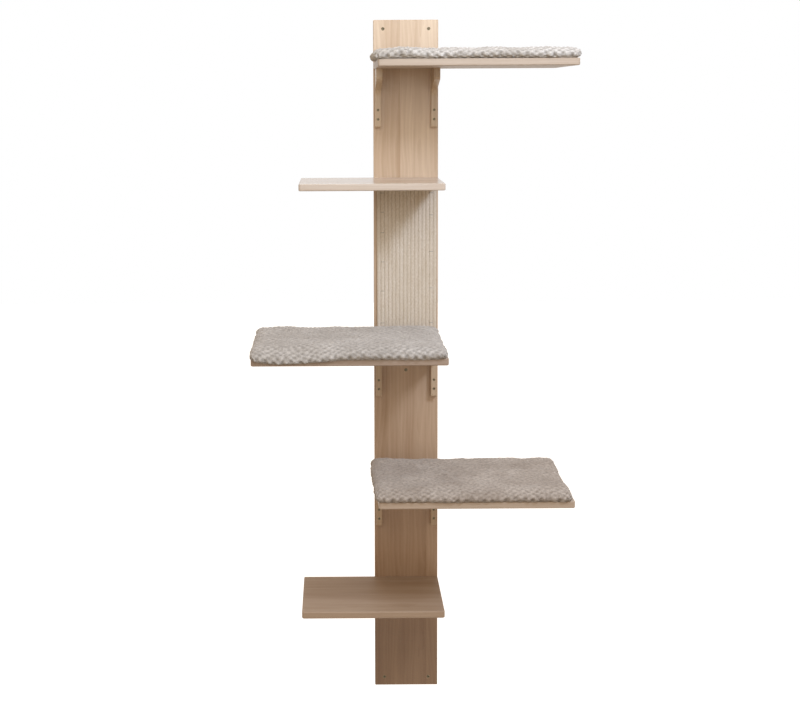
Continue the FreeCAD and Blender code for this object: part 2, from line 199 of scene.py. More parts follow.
def new_material(name):
    """A material, its tree, its Principled BSDF, and the place on the piece as a socket."""
    material = bpy.data.materials.new(name)
    tree = empty_tree(material)
    shader = put(tree, "ShaderNodeBsdfPrincipled")
    put(tree, "ShaderNodeOutputMaterial", None, {"Surface": shader.outputs[0]})
    return material, tree, shader, put(tree, "ShaderNodeTexCoord").outputs["Object"]


def bump(tree, shader, height, distance, strength=1.0):
    """Relief in a material, from a height and how deep it goes in metres."""
    node = put(tree, "ShaderNodeBump", None,
               {"Height": height, "Distance": distance, "Strength": strength})
    tree.links.new(node.outputs[0], shader.inputs["Normal"])


def srgb(red, green, blue):
    """A colour from the 0 to 255 values that a picture shows, made linear."""
    parts = [value / 255 for value in (red, green, blue)]
    return tuple(p / 12.92 if p <= 0.04045 else ((p + 0.055) / 1.055) ** 2.4 for p in parts) + (1.0,)


def finish_nodes(names, material):
    """Give pieces of the construction a material."""
    for name in names:
        nodes[name].data.materials.clear()
        nodes[name].data.materials.append(material)


print("material helpers ready")

# %% [markdown]
# ## Light and background
#
# The real tree was lit from in front and above: the wood is nearly white at the top and brown at the
# foot, and each shelf throws a soft shadow that slants to its lower left. A cool key lamp near the top
# on the right does the same, because its light falls off with distance. A larger lamp in front, a
# weak one above and a warm even light from all round, as from a room's floor and walls, fill the
# shadows.
#
# The background is white only for what the camera sees, so it adds no light of its own.

# %% Lamps
bpy.context.scene.view_settings.view_transform = "Standard"


def soft_lamp(name, place, target, across, watts, colour):
    """A square area light that points at a target."""
    data = bpy.data.lights.new(name, "AREA")
    data.shape = "SQUARE"
    data.size = across
    data.energy = watts
    data.color = colour
    lamp = placed(name, data)
    lamp.location = place
    lamp.rotation_euler = (Vector(target) - Vector(place)).to_track_quat("-Z", "Y").to_euler()


soft_lamp("key_lamp", (1.02, -1.70, 1.71), (0, 0, 0.55), 0.40, 30, (0.66, 0.78, 1.0))
soft_lamp("front_lamp", (0.10, -2.60, 1.50), (0, 0, 0.45), 1.4, 23, (0.91, 0.97, 1.0))
soft_lamp("top_lamp", (-0.20, -1.00, 2.20), (-0.1, -0.2, 0.2), 1.0, 5.0, (1.0, 1.0, 1.0))
print("three lamps")

# %% Background
FILL = (1.0, 0.82, 0.64, 1)
FILL_LEVEL = 0.58
WHITE = (1, 1, 1, 1)


def seen_directly(tree):
    """1 where a ray comes from the camera, a mirror or a glass, and 0 elsewhere."""
    path = put(tree, "ShaderNodeLightPath").outputs
    seen = sum_of(tree, "MAXIMUM", path["Is Camera Ray"], path["Is Glossy Ray"])
    return sum_of(tree, "MAXIMUM", seen, path["Is Transmission Ray"])


def shaders_mixed(tree, share, first, second, output):
    """The output of a tree is one shader or another, by a share."""
    mix = put(tree, "ShaderNodeMixShader", None, {0: share, 1: first, 2: second})
    put(tree, output, None, {"Surface": mix.outputs[0]})


world = bpy.data.worlds.new("studio")
bpy.context.scene.world = world
tree = empty_tree(world)
fill = put(tree, "ShaderNodeBackground", None, {"Color": FILL, "Strength": FILL_LEVEL})
white = put(tree, "ShaderNodeBackground", None, {"Color": WHITE, "Strength": 1.0})
shaders_mixed(tree, seen_directly(tree), fill.outputs[0], white.outputs[0], "ShaderNodeOutputWorld")
print("the world lights with", FILL_LEVEL, "and shows white")

# %% Floor
FLOOR_DROP, FLOOR_REACH = 0.9, 12.0
FLOOR_PAINT = (0.62, 0.60, 0.57, 1)
FLOOR_GLOW = 0.93          # lifts the paint to white for the camera, and leaves a shadow on it

floor_height = construction_box[0][2] - FLOOR_DROP
floor_mesh = bpy.data.meshes.new("floor")
floor_mesh.from_pydata([(x * FLOOR_REACH, y * FLOOR_REACH, floor_height)
                        for x, y in ((-1, -1), (1, -1), (1, 1), (-1, 1))], [], [(0, 1, 2, 3)])
floor = placed("floor", floor_mesh)

paint = bpy.data.materials.new("floor_paint")
tree = empty_tree(paint)
matt = put(tree, "ShaderNodeBsdfDiffuse", None, {"Color": FLOOR_PAINT}).outputs[0]
glow = put(tree, "ShaderNodeEmission", None, {"Strength": FLOOR_GLOW}).outputs[0]
both = put(tree, "ShaderNodeAddShader", None, {0: matt, 1: glow}).outputs[0]
shaders_mixed(tree, seen_directly(tree), matt, both, "ShaderNodeOutputMaterial")
floor.data.materials.append(paint)
print("floor at", round(floor_height, 3))

# %% [markdown]
# ## Wood
#
# The boards are glued up from strips, each cut from another place in a log. A strip's growth rings
# are thin shells round the log's heart. Cut along the grain they show as streaks and long arches, and
# cut across it as arcs, so one formula in three dimensions gives every face its own right figure:
# the distance from the heart, which each strip has somewhere else, wobbled a little along the grain.
# Short dark pores and a slow change of tone go on top. The tall board carries painted light falloff:
# its tones are mixed along its length from two pairs, palest at its upper end, and its foot is
# multiplied by a darker colour as painted shade, most below the last shelf.

# %% Wood figure
RING_PITCH = 0.0085


def wood_figure():
    """Colour and height of wood. Position has the grain along X, strips side by side along Y."""
    group, takes, gives = new_group(
        "wood_figure",
        [("Position", VECTOR, (0, 0, 0)), ("Pale", COLOUR, (1, 1, 1, 1)),
         ("Dark", COLOUR, (0, 0, 0, 1)), ("Strip", NUMBER, 0.04), ("Seed", NUMBER, 0.0),
         ("Figure", NUMBER, 0.5)],
        [("Color", COLOUR), ("Height", NUMBER)])
    sums = functools.partial(sum_of, group)
    parts = put(group, "ShaderNodeSeparateXYZ", None, {0: takes["Position"]}).outputs
    place = sums("ADD", sums("DIVIDE", parts["Y"], takes["Strip"]), takes["Seed"])
    strip = sums("FLOOR", place)
    chance = put(group, "ShaderNodeTexWhiteNoise", {"noise_dimensions": "1D"}, {"W": strip}).outputs
    random_parts = put(group, "ShaderNodeSeparateColor", None, {0: chance["Color"]}).outputs

    moved = put(group, "ShaderNodeCombineXYZ", None,
                {"X": sums("MULTIPLY_ADD", strip, 3.7, parts["X"]),
                 "Y": parts["Y"], "Z": parts["Z"]}).outputs[0]
    wobble = noise(group, moved, (2.6, 9.0, 9.0), 1.5)
    drift = noise(group, moved, (7.0, 30.0, 30.0), 2.0)
    heart_y = sums("MULTIPLY_ADD", random_parts[0], 0.09, -0.045)
    inside = sums("MULTIPLY", sums("SUBTRACT", sums("FRACT", place), 0.5), takes["Strip"])
    side = sums("ADD", sums("SUBTRACT", inside, heart_y), sums("MULTIPLY_ADD", wobble, 0.05, -0.025))
    deep = sums("ADD", sums("MULTIPLY_ADD", random_parts[1], 0.05, 0.012),
                sums("MULTIPLY_ADD", drift, 0.012, parts["Z"]))
    heart = sums("SQRT", sums("MULTIPLY_ADD", side, side, sums("MULTIPLY", deep, deep)))
    turn = sums("FRACT", sums("DIVIDE", heart, RING_PITCH))
    ring = spread(group, sums("PINGPONG", turn, 0.72), 0.0, 0.72)

    tone = noise(group, moved, (1.7, 25.0, 25.0), 4.0, 0.6)
    fibre = noise(group, moved, (7.0, 260.0, 260.0), 3.0, 0.6)
    pores = spread(group, noise(group, moved, (55.0, 1500.0, 1500.0), 1.0), 0.63, 0.72)

    dark = sums("MULTIPLY", sums("SUBTRACT", ring, 0.5), takes["Figure"])
    for value, weight in ((fibre, 0.38), (tone, 1.9), (random_parts[2], 0.36)):
        dark = sums("MULTIPLY_ADD", sums("SUBTRACT", value, 0.5), weight, dark)
    dark = sums("MULTIPLY_ADD", pores, 0.22, dark)
    share = spread(group, dark, -0.75, 0.75)
    group.links.new(mixed(group, share, takes["Pale"], takes["Dark"]), gives["Color"])
    height = sums("MULTIPLY_ADD", pores, -1.0, sums("MULTIPLY", fibre, 0.5))
    group.links.new(height, gives["Height"])
    return group


WOOD_FIGURE = wood_figure()
print("wood figure:", len(WOOD_FIGURE.nodes), "nodes")

# %% Wood
BOARD_HALF = (construction_box[1][2] - construction_box[0][2]) / 2
# Painted shade: the board's foot is darkened by a colour that fades out between these heights.
FOOT_SHADE_HEIGHTS = (-0.83, -0.54)          # the heights between which the foot's brown fades out
FOOT_SHADE_COLOUR = srgb(200, 193, 179)


def wood(name, axes, tones, strip, seed, figure=0.3, rough=0.36, foot=None):
    """Oiled wood: axes are those of the grain, across the strips and through the board. Pale and
    dark tones change along a tall board to darker ones at its foot, as painted light falloff and shade."""
    material, tree, shader, place = new_material(name)
    parts = put(tree, "ShaderNodeSeparateXYZ", None, {0: place}).outputs
    position = put(tree, "ShaderNodeCombineXYZ", None,
                   {to: parts[axis] for to, axis in zip("XYZ", axes)}).outputs[0]
    pale, dark = tones
    if foot:
        # Painted light and shade: darker tones at the foot and paler ones at the top, and a darker
        # colour multiplied in at the foot.
        height = spread(tree, parts["Z"], -BOARD_HALF, BOARD_HALF)
        brown = mixed(tree, spread(tree, parts["Z"], *FOOT_SHADE_HEIGHTS), FOOT_SHADE_COLOUR, WHITE)
        pale, dark = (mixed(tree, 1.0, mixed(tree, height, low, high), brown, "MULTIPLY")
                      for low, high in zip(foot, tones))
    figure_of = use_group(tree, WOOD_FIGURE, {"Position": position, "Pale": pale, "Dark": dark,
                                              "Strip": strip, "Seed": seed, "Figure": figure})
    set_sockets(tree, shader, {"Base Color": figure_of["Color"], "Roughness": rough})
    bump(tree, shader, figure_of["Height"], 0.12 * MM, 0.6)
    return material


print("wood ready")

# %% [markdown]
# ### Wood for each piece
#
# No two pieces come from the same plank, so each gets its own seed and its own tones, which hold
# painted light and shade: paler and smoother where the light catches it, painted darker lower down.
# A bracket is sawn from one strip.

# %% Wood on the pieces
BOARD_STRIP, SHELF_STRIP, BRACKET_STRIP = 0.036, 0.052, 0.2
BOARD_SEED, SHELF_SEEDS, BRACKET_SEEDS = 4.417, (11.3, 7.4), (31.7, 3.1)
# The board's tones at its upper end, and darker ones at its foot that are painted shade.
BOARD_TONES = (srgb(230, 209, 182), srgb(188, 158, 126))
BOARD_SHADED_FOOT_TONES = (srgb(192, 161, 133), srgb(151, 117, 89))
BRACKET_TONES = (srgb(214, 194, 166), srgb(177, 147, 115))
# For each shelf its pale and its dark tone, which hold painted light and shade, and its roughness.
SHELF_TONES = {
    "top": (srgb(194, 178, 160), srgb(162, 138, 114), 0.46),
    "second": (srgb(214, 201, 186), srgb(184, 160, 138), 0.20),
    "third": (srgb(178, 160, 144), srgb(149, 124, 103), 0.42),
    "fourth": (srgb(194, 175, 155), srgb(162, 136, 111), 0.42),
    "fifth": (srgb(181, 158, 135), srgb(151, 123, 97), 0.60),
}
finish_nodes(["backboard"], wood("board_wood", "ZXY", BOARD_TONES, BOARD_STRIP, BOARD_SEED,
                                 foot=BOARD_SHADED_FOOT_TONES))
for number, (word, (pale, dark, rough)) in enumerate(SHELF_TONES.items()):
    first, step = SHELF_SEEDS
    finish_nodes([f"shelf_{word}"], wood(f"shelf_wood_{word}", "XYZ", (pale, dark), SHELF_STRIP,
                                         first + step * number, rough=rough))
brackets = sorted(name for name in nodes if name.startswith("bracket"))
for number, name in enumerate(brackets):
    first, step = BRACKET_SEEDS
    finish_nodes([name], wood(f"wood_of_{name}", "ZYX", BRACKET_TONES, BRACKET_STRIP,
                              first + step * number, figure=0.4))
print("wood on", 1 + len(SHELF_TONES) + len(brackets), "pieces")

# %% [markdown]
# ## Helpers for meshes
#
# The finer pieces are meshes written point by point. Points that a formula gives are quickest as
# arrays. A piece that replaces one of the construction's stays where that one is, so its place is
# read from there: the separate solids of a group of screws or staples, each with its own box.

# %% Mesh helpers
def new_piece(name, points, faces, materials, smooth=True):
    """A mesh object from points and faces."""
    mesh = bpy.data.meshes.new(name)
    mesh.from_pydata([tuple(p) for p in points], [], faces)
    mesh.update()
    for material in materials:
        mesh.materials.append(material)
    piece = placed(name, mesh)
    if smooth:
        mesh.shade_smooth()
    return piece


def grid_faces(rows, columns, closed=False):
    """Faces of a grid of points that is stored row by row, its rows closed to rings or not."""
    row, column = np.meshgrid(np.arange(rows - 1), np.arange(columns if closed else columns - 1),
                              indexing="ij")
    right = (column + 1) % columns
    faces = np.stack([row * columns + column, row * columns + right,
                      (row + 1) * columns + right, (row + 1) * columns + column], axis=-1)
    return faces.reshape(-1, 4).tolist()


def mark_points(piece, name, values):
    """Give each point of a piece a value that its material reads."""
    mark = piece.data.attributes.new(name, "FLOAT", "POINT")
    mark.data.foreach_set("value", values.astype(np.float32))


def solids_of(name):
    """The boxes of a node's separate solids, each a pair of corners, in a fixed order."""
    mesh = bmesh.new()
    mesh.from_mesh(nodes[name].data)
    bmesh.ops.remove_doubles(mesh, verts=mesh.verts, dist=1e-6)
    left = set(mesh.verts)
    boxes = []
    while left:
        found, queue = [], [left.pop()]
        while queue:
            point = queue.pop()
            found.append(point.co[:])
            for edge in point.link_edges:
                other = edge.other_vert(point)
                if other in left:
                    left.remove(other)
                    queue.append(other)
        found = np.array(found)
        boxes.append((Vector(found.min(0)), Vector(found.max(0))))
    mesh.free()
    return sorted(boxes, key=lambda box: (round(box[0].z, 4), round(box[0].x, 4), round(box[0].y, 4)))


def joined(name, pieces):
    """Several mesh objects made one, under a new name."""
    with bpy.context.temp_override(active_object=pieces[0], selected_editable_objects=pieces):
        bpy.ops.object.join()
    pieces[0].name = name
    return pieces[0]


print("leg screws of the top shelf:", len(solids_of("leg_screws_top")))

# %% [markdown]
# ## Screws
#
# Countersunk wood screws hold the brackets, and their zinc plated heads show as small grey dots. Each
# has a flat head with a crossed recess, a cone below it, and a thread that winds up to the point. The
# thread is a formula: the distance from the axis grows and shrinks as a point's height, less its
# turn round the axis, runs through each pitch.

# %% Zinc plated steel
def worn_metal():
    """Roughness and height of plated metal with fine scratches and dull patches."""
    group, takes, gives = new_group("worn_metal", [("Position", VECTOR, (0, 0, 0))],
                                    [("Mask", NUMBER), ("Height", NUMBER)])
    patches = noise(group, takes["Position"], (260.0, 260.0, 260.0), 3.0)
    scratches = noise(group, takes["Position"], (2400.0, 240.0, 900.0), 2.0)
    group.links.new(spread(group, patches, 0.3, 0.7), gives["Mask"])
    group.links.new(scratches, gives["Height"])
    return group


WORN_METAL = worn_metal()


def metal(name, clean, dull, smooth_part, rough_part):
    """Plated metal, from clean and smooth to dull and rough."""
    material, tree, shader, position = new_material(name)
    wear = use_group(tree, WORN_METAL, {"Position": position})
    set_sockets(tree, shader, {
        "Base Color": mixed(tree, wear["Mask"], clean, dull),
        "Roughness": spread(tree, wear["Mask"], 0, 1, smooth_part, rough_part), "Metallic": 1.0})
    bump(tree, shader, wear["Height"], 0.03 * MM)
    return material


zinc = metal("zinc_plated_steel", srgb(140, 127, 104), srgb(96, 85, 66), 0.42, 0.6)
print("zinc ready")

# %% A screw's head and shank
HEAD_SIDES = 24
CROSS_ARM, CROSS_HALF, CROSS_DEEP = 0.62, 0.16, 0.55     # shares of the head's radius
CROSS_TAPER = 0.45                                       # how much of the cross is left at its bottom
TURN_POINTS, PITCH_ROWS = 12, 5
PITCH, CORE, POINT = 0.9, 0.72, 3.0       # shares of the shank's radius: one turn, the core, the point
THREAD_STARTS, CONE, TIP, BLUNT = 0.35, 0.9, 0.5, 0.12


def screw_head(name, head):
    """A flat disc at the origin with a crossed recess that narrows downwards."""
    mesh = bmesh.new()
    circle = [mesh.verts.new((head * math.cos(2 * math.pi * i / HEAD_SIDES),
                              head * math.sin(2 * math.pi * i / HEAD_SIDES), 0))
              for i in range(HEAD_SIDES)]
    rim = []
    for quarter in range(4):
        turn = Matrix.Rotation(math.radians(90 * quarter), 3, "Z")
        for x, y in ((CROSS_ARM, -CROSS_HALF), (CROSS_ARM, CROSS_HALF), (CROSS_HALF, CROSS_HALF)):
            rim.append(mesh.verts.new(turn @ Vector((x * head, y * head, 0))))
    edges = [mesh.edges.new((ring[i], ring[(i + 1) % len(ring)]))
             for ring in (circle, rim) for i in range(len(ring))]
    bmesh.ops.triangle_fill(mesh, edges=edges, use_beauty=True)
    deep = [mesh.verts.new((v.co.x * CROSS_TAPER, v.co.y * CROSS_TAPER, -CROSS_DEEP * head))
            for v in rim]
    for i in range(len(rim)):
        after = (i + 1) % len(rim)
        mesh.faces.new((rim[i], deep[i], deep[after], rim[after]))
    mesh.faces.new(deep)
    head_mesh = bpy.data.meshes.new(name)
    mesh.to_mesh(head_mesh)
    mesh.free()
    head_mesh.materials.append(zinc)
    return placed(name, head_mesh)


def screw_shank(name, head, shank, long):
    """The cone below the head, the thread and the point, along -Z."""
    pitch = shank * PITCH
    length_below = long - head * TIP
    cone = (head - shank) * CONE
    rows = int(length_below / pitch * PITCH_ROWS)
    turns = [2 * math.pi * i / TURN_POINTS for i in range(TURN_POINTS)]
    points = [(head * math.cos(angle), head * math.sin(angle), 0) for angle in turns]
    for row in range(rows + 1):
        down = cone + (length_below - cone) * row / rows
        taper = min(1.0, (long - down) / (POINT * shank) + BLUNT)
        for i, angle in enumerate(turns):
            turn = (down / pitch - i / TURN_POINTS) % 1.0
            crest = max(0.0, 1 - abs(turn - 0.5) * 4)
            thread = 0.0 if down < long * THREAD_STARTS else crest
            radius = shank * taper * (CORE + (1 - CORE) * thread)
            points.append((radius * math.cos(angle), radius * math.sin(angle), -down))
    points.append((0, 0, -long))
    faces = grid_faces(rows + 2, TURN_POINTS, closed=True)
    last = (rows + 1) * TURN_POINTS
    faces += [(last + i, last + (i + 1) % TURN_POINTS, last + TURN_POINTS) for i in range(TURN_POINTS)]
    return new_piece(name, points, [face[::-1] for face in faces], [zinc], smooth=False)


print("a screw's head and shank ready")

# %% Screws in the brackets and the shelves
SCREW_SIZES = {          # radius of the head and of the shank
    "leg": (3.5 * MM, 1.75 * MM), "arm": (4 * MM, 2 * MM), "rear": (5 * MM, 2.5 * MM),
    "wall": (4.6 * MM, 2.2 * MM)}
RANDOM = random.Random(7)


def set_screw(name, size, long, head_at, axis):
    """A screw that points along an axis, its recess turned by chance."""
    head, shank = SCREW_SIZES[size]
    piece = joined(name, [screw_head(f"{name}_head", head),
                          screw_shank(f"{name}_shank", head, shank, long)])
    roll = Matrix.Rotation(RANDOM.uniform(0, math.pi / 2), 4, "Z")
    turn = axis.to_track_quat("-Z", "Y").to_matrix().to_4x4()
    piece.data.transform(Matrix.Translation(head_at) @ turn @ roll)
    return piece


def screws_for(name, node_name, size, points_to):
    """Screws in place of a group of plain ones. They point along an axis of the tree."""
    axis = Vector(points_to)
    made = []
    for number, (low, high) in enumerate(solids_of(node_name)):
        long = abs((high - low).dot(axis))
        made.append(set_screw(f"{name}_{number}", size, long, (low + high) / 2 - axis * long / 2, axis))
    piece = joined(name, made)
    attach(piece, "tree")
    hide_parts(node_name)


for word in LARGE_SHELVES:
    screws_for(f"bracket_leg_screws_{word}", f"leg_screws_{word}", "leg", (0, 1, 0))
    screws_for(f"bracket_arm_screws_{word}", f"arm_screws_{word}", "arm", (0, 0, -1))
screws_for("shelf_rear_screws", "rear_screws", "rear", (0, -1, 0))
print("screws in place")

# %% Wall screws
WALL_SCREW_LONG, WALL_SCREW_SUNK = 28 * MM, 0.4 * MM
WALL_HOLE_SIDE, WALL_HOLE_END, MIDDLE_HOLE_UP = 0.026, 0.024, -0.027
board_low, board_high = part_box("backboard")
wall_holes = [(side * (board_high.x - WALL_HOLE_SIDE), end * (board_high.z - WALL_HOLE_END))
              for side in (-1, 1) for end in (-1, 1)] + [(0, MIDDLE_HOLE_UP)]
wall_screws = joined("wall_screws", [
    set_screw(f"wall_screw_{number}", "wall", WALL_SCREW_LONG,
              Vector((x, board_low.y + WALL_SCREW_SUNK, z)), Vector((0, 1, 0)))
    for number, (x, z) in enumerate(wall_holes)])
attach(wall_screws, "tree")
print(len(wall_holes), "wall screws")

# %% [markdown]
# ## The scratching mat
#
# Sisal cords lie side by side, upright, on a glued backing. Seen close, each cord is a few strands
# twisted round each other, so its face is a row of slanting ridges, and no two cords are quite alike.
# A height field gives all of this: an arch across each cord, strands that slant over it, and slow
# seeded noise for cords that wander, swell and fray.

# %% Sisal fibre
def sisal_material():
    """Pale plant fibre: long fine streaks, and painted shade between the cords."""
    material, tree, shader, position = new_material("sisal_cord")
    groove_shade = put(tree, "ShaderNodeAttribute", {"attribute_name": "groove_shade"}).outputs["Fac"]
    fibre = noise(tree, position, (1500.0, 900.0, 160.0), 3.0)
    patches = noise(tree, position, (60.0, 60.0, 14.0), 2.0)
    pale = mixed(tree, patches, srgb(236, 228, 217), srgb(214, 201, 182))
    streaked = mixed(tree, spread(tree, fibre, 0.35, 0.75), pale, srgb(192, 175, 150))
    # Painted shade in the grooves between the cords and on the back.
    shaded = mixed(tree, groove_shade, streaked, srgb(142, 120, 96))
    set_sockets(tree, shader, {"Base Color": shaded, "Roughness": 0.85, "Specular IOR Level": 0.2})
    bump(tree, shader, fibre, 0.3 * MM, 0.7)
    return material


print("sisal fibre described")

# %% Slow noise on a grid
def slow_noise(generator, rows, columns, row_step, column_step):
    """Smooth seeded noise between -1 and 1 on a grid, from a coarse grid of random values."""
    coarse_rows, coarse_columns = rows // row_step + 3, columns // column_step + 3
    coarse = generator.uniform(-1, 1, (coarse_rows, coarse_columns))
    row, column = np.arange(rows) / row_step, np.arange(columns) / column_step
    row_0, column_0 = row.astype(int), column.astype(int)
    row_t = (row - row_0) ** 2 * (3 - 2 * (row - row_0))
    column_t = (column - column_0) ** 2 * (3 - 2 * (column - column_0))
    upper, lower = (values[:, column_0] * (1 - column_t) + values[:, column_0 + 1] * column_t
                    for values in (coarse[row_0], coarse[row_0 + 1]))
    return upper * (1 - row_t[:, None]) + lower * row_t[:, None]


print("slow noise ready")

# %% The mat of cords
CORDS, CORD_COLUMNS = 16, 13
MAT_ROW, MAT_BASE = 1.6 * MM, 2.5 * MM
STRAND_RISE, STRANDS_DEEP, STRAND_LEAN = 7.5 * MM, 0.45 * MM, 0.55
CORD_ARCH = 3.0 * MM
WANDER, SWELL, FRAY = 0.35 * MM, 0.10, 0.16 * MM


def make_sisal_mat():
    """A height field in front of a flat back, closed at its four edges."""
    low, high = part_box("sisal_mat")
    generator = np.random.default_rng(21)
    rows = int((high.z - low.z) / MAT_ROW)
    columns = CORDS * CORD_COLUMNS + 1
    across = np.linspace(0, CORDS, columns)
    z = np.linspace(low.z, high.z, rows)
    cord = np.minimum(across.astype(int), CORDS - 1)
    inside = (across - cord) * 2 - 1
    wander = slow_noise(generator, rows, CORDS, 26, 1)[:, cord] * WANDER
    swell = 1 + slow_noise(generator, rows, CORDS, 14, 1)[:, cord] * SWELL
    arch = np.sqrt(np.clip(1 - (np.abs(inside) * 0.97) ** 2.4, 0, None))[None, :]
    phase = generator.uniform(0, 1, CORDS)[cord]
    turn = z[:, None] / STRAND_RISE + inside[None, :] * STRAND_LEAN + phase[None, :]
    strand = np.abs(np.sin(math.pi * turn)) ** 0.7
    fray = slow_noise(generator, rows, columns, 2, 2) * FRAY
    height = (CORD_ARCH - STRANDS_DEEP) * arch * swell + STRANDS_DEEP * strand * arch + fray * arch
    x = low.x + (high.x - low.x) * across / CORDS + wander * (1 - np.abs(inside) ** 2)
    y = high.y - MAT_BASE - np.clip(height, 0, CORD_ARCH + 0.2 * MM)
    points = np.stack([x, y, np.broadcast_to(z[:, None], x.shape)], axis=-1).reshape(-1, 3)
    # The mark for painted shade: near 1 deep between the cords, 0 on their crowns.
    groove_shade = np.clip(1 - height / (0.62 * CORD_ARCH), 0, 1) ** 1.2
    back = np.stack([x, np.full_like(x, high.y), np.broadcast_to(z[:, None], x.shape)], axis=-1)
    count = len(points)
    faces = grid_faces(rows, columns)
    faces += [[count + i for i in reversed(face)] for face in faces]
    index = np.arange(count).reshape(rows, columns)
    for edge, way in ((index[0], 1), (index[-1], -1), (index[:, 0], -1), (index[:, -1], 1)):
        for pair in zip(edge[:-1].tolist(), edge[1:].tolist()):
            a, b = pair[::way]
            faces.append((a, count + a, count + b, b))
    piece = new_piece("sisal_cords", np.concatenate([points, back.reshape(-1, 3)]), faces,
                      [sisal_material()])
    mark_points(piece, "groove_shade", np.concatenate([groove_shade.reshape(-1), np.ones(count)]))
    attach(piece, "tree")
    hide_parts("sisal_mat")
    return piece


sisal = make_sisal_mat()
print("sisal mat:", len(sisal.data.vertices), "points")

# %% [markdown]
# ## Staples
#
# Wire staples hold the mat's edges. A staple's crown is a short bar with rounded shoulders that turn
# into its legs, so it is one wire bent twice: a tube that follows a line with two quarter circles.

# %% Tube
def tube(name, line, radius, sides, materials):
    """A closed tube along a line of points."""
    points = []
    for i, point in enumerate(line):
        ahead = (line[min(i + 1, len(line) - 1)] - line[max(i - 1, 0)]).normalized()
        up = Vector((0, 0, 1)) if abs(ahead.z) < 0.9 else Vector((1, 0, 0))
        first = ahead.cross(up).normalized()
        second = ahead.cross(first)
        points += [point + (first * math.cos(2 * math.pi * j / sides)
                            + second * math.sin(2 * math.pi * j / sides)) * radius
                   for j in range(sides)]
    faces = [face[::-1] for face in grid_faces(len(line), sides, closed=True)]
    faces += [tuple(range(sides)), tuple(reversed(range(len(points) - sides, len(points))))]
    return new_piece(name, points, faces, materials)


print("tube ready")

# %% Staples
STAPLE_BEND, STAPLE_RADIUS = 1.6 * MM, 0.6 * MM
BEND_STEPS, WIRE_SIDES = 4, 8


def make_staples():
    """A bent wire in place of each plain staple: leg, shoulder, crown, shoulder, leg."""
    bend, radius = STAPLE_BEND, STAPLE_RADIUS
    made = []
    for number, (low, high) in enumerate(solids_of("mat_staples")):
        middle = (low + high) / 2
        line = [Vector((low.x + radius, high.y - radius, middle.z))]
        for side in (-1, 1):
            centre = Vector((middle.x + side * ((high.x - low.x) / 2 - radius - bend),
                             low.y + radius + bend, middle.z))
            for step in range(BEND_STEPS + 1):
                turn = math.radians(90 / BEND_STEPS * step)
                across, out = math.cos(turn), math.sin(turn)
                if side > 0:
                    across, out = out, across
                line.append(centre + Vector((side * across, -out, 0)) * bend)
        line.append(Vector((high.x - radius, high.y - radius, middle.z)))
        made.append(tube(f"staple_{number}", line, radius, WIRE_SIDES, [staple_wire]))
    piece = joined("edge_staples", made)
    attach(piece, "tree")
    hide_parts("mat_staples")


staple_wire = metal("staple_wire", srgb(172, 168, 158), srgb(128, 122, 110), 0.3, 0.5)
make_staples()
print("staples in place")

# %% [markdown]
# ## Hook and loop tape
#
# Two flat strips on each large shelf catch two under its cushion, so it stays put when it is jumped
# on and still comes off to be washed. They show only when a cushion is lifted.

# %% Tape
HOOK_SCALE, LOOP_SCALE = 620.0, 420.0


def tape(name, pale, dark, scale):
    """Woven tape with rows of small hooks or loops."""
    material, tree, shader, position = new_material(name)
    rows = put(tree, "ShaderNodeTexVoronoi", {"feature": "F1"},
               {"Vector": position, "Scale": scale}).outputs["Distance"]
    patches = noise(tree, position, (90.0, 90.0, 90.0), 2.0)
    tone = sum_of(tree, "MULTIPLY_ADD", rows, 0.5, sum_of(tree, "MULTIPLY", patches, 0.5))
    set_sockets(tree, shader, {"Base Color": mixed(tree, tone, pale, dark), "Roughness": 0.8})
    bump(tree, shader, rows, 0.4 * MM, 0.8)
    return material


finish_nodes([f"hook_strips_{word}" for word in LARGE_SHELVES],
             tape("hook_tape", srgb(232, 230, 224), srgb(196, 192, 184), HOOK_SCALE))
finish_nodes([f"loop_strips_{word}" for word in LARGE_SHELVES],
             tape("loop_tape", srgb(236, 233, 226), srgb(206, 201, 192), LOOP_SCALE))
print("tape on", 2 * len(LARGE_SHELVES), "groups of strips")

# %% [markdown]
# ## The cushions
#
# Each cushion is a soft pad in a bobbly plush cover. The cover is sewn a little too large for its
# filling, so it swells, creases and never lies quite square. It is made in the order of the real one:
#
# 1. a plain pad with round corners, whose edges wander a little,
# 2. remeshed into small even squares and blown up as cloth, which gives its crown and its creases,
# 3. laid on its shelf, with what hangs over the front edge drooping,
# 4. covered with bobbles in staggered rows that run on over the edges.
#
# The bobbles come last, because they are finer than the cloth's squares. The cover's colour comes
# first, because the bobbles hand it a mark for their hollows, where shade is painted.

# %% Plush
TUFT_SHARE = 1.6          # the height of tufts beside that of the fine pile


def plush(name, pale, grey, hollow, mottle):
    """Bobbly plush: pale tops, painted shade in the hollows, slow patches, tufts and a fine pile."""
    material, tree, shader, position = new_material(name)
    hollow_shade = put(tree, "ShaderNodeAttribute", {"attribute_name": "hollow_shade"}).outputs["Fac"]
    patches = noise(tree, position, (14.0, 14.0, 14.0), 3.0)
    pile = noise(tree, position, (700.0, 700.0, 700.0), 3.0, 0.65)
    tufts = noise(tree, position, (130.0, 130.0, 130.0), 2.0, 0.6)
    tone = mixed(tree, spread(tree, patches, 0.32, 0.68), pale, grey)
    tufted = mixed(tree, spread(tree, tufts, 0.42, 0.68, 0.0, mottle), tone, hollow)
    piled = mixed(tree, spread(tree, pile, 0.30, 0.85, 0.0, 0.5), tufted, hollow)
    # Painted shade darkens the hollows between the bobbles, by the mark that the bobbles hand over.
    set_sockets(tree, shader, {
        "Base Color": mixed(tree, sum_of(tree, "MULTIPLY", hollow_shade, 0.85), piled, hollow),
        "Roughness": 0.95, "Specular IOR Level": 0.15, "Sheen Weight": 0.25, "Sheen Roughness": 0.6})
    bump(tree, shader, sum_of(tree, "MULTIPLY_ADD", tufts, TUFT_SHARE, pile), 1.6 * MM, 0.8)
    return material


print("plush ready")

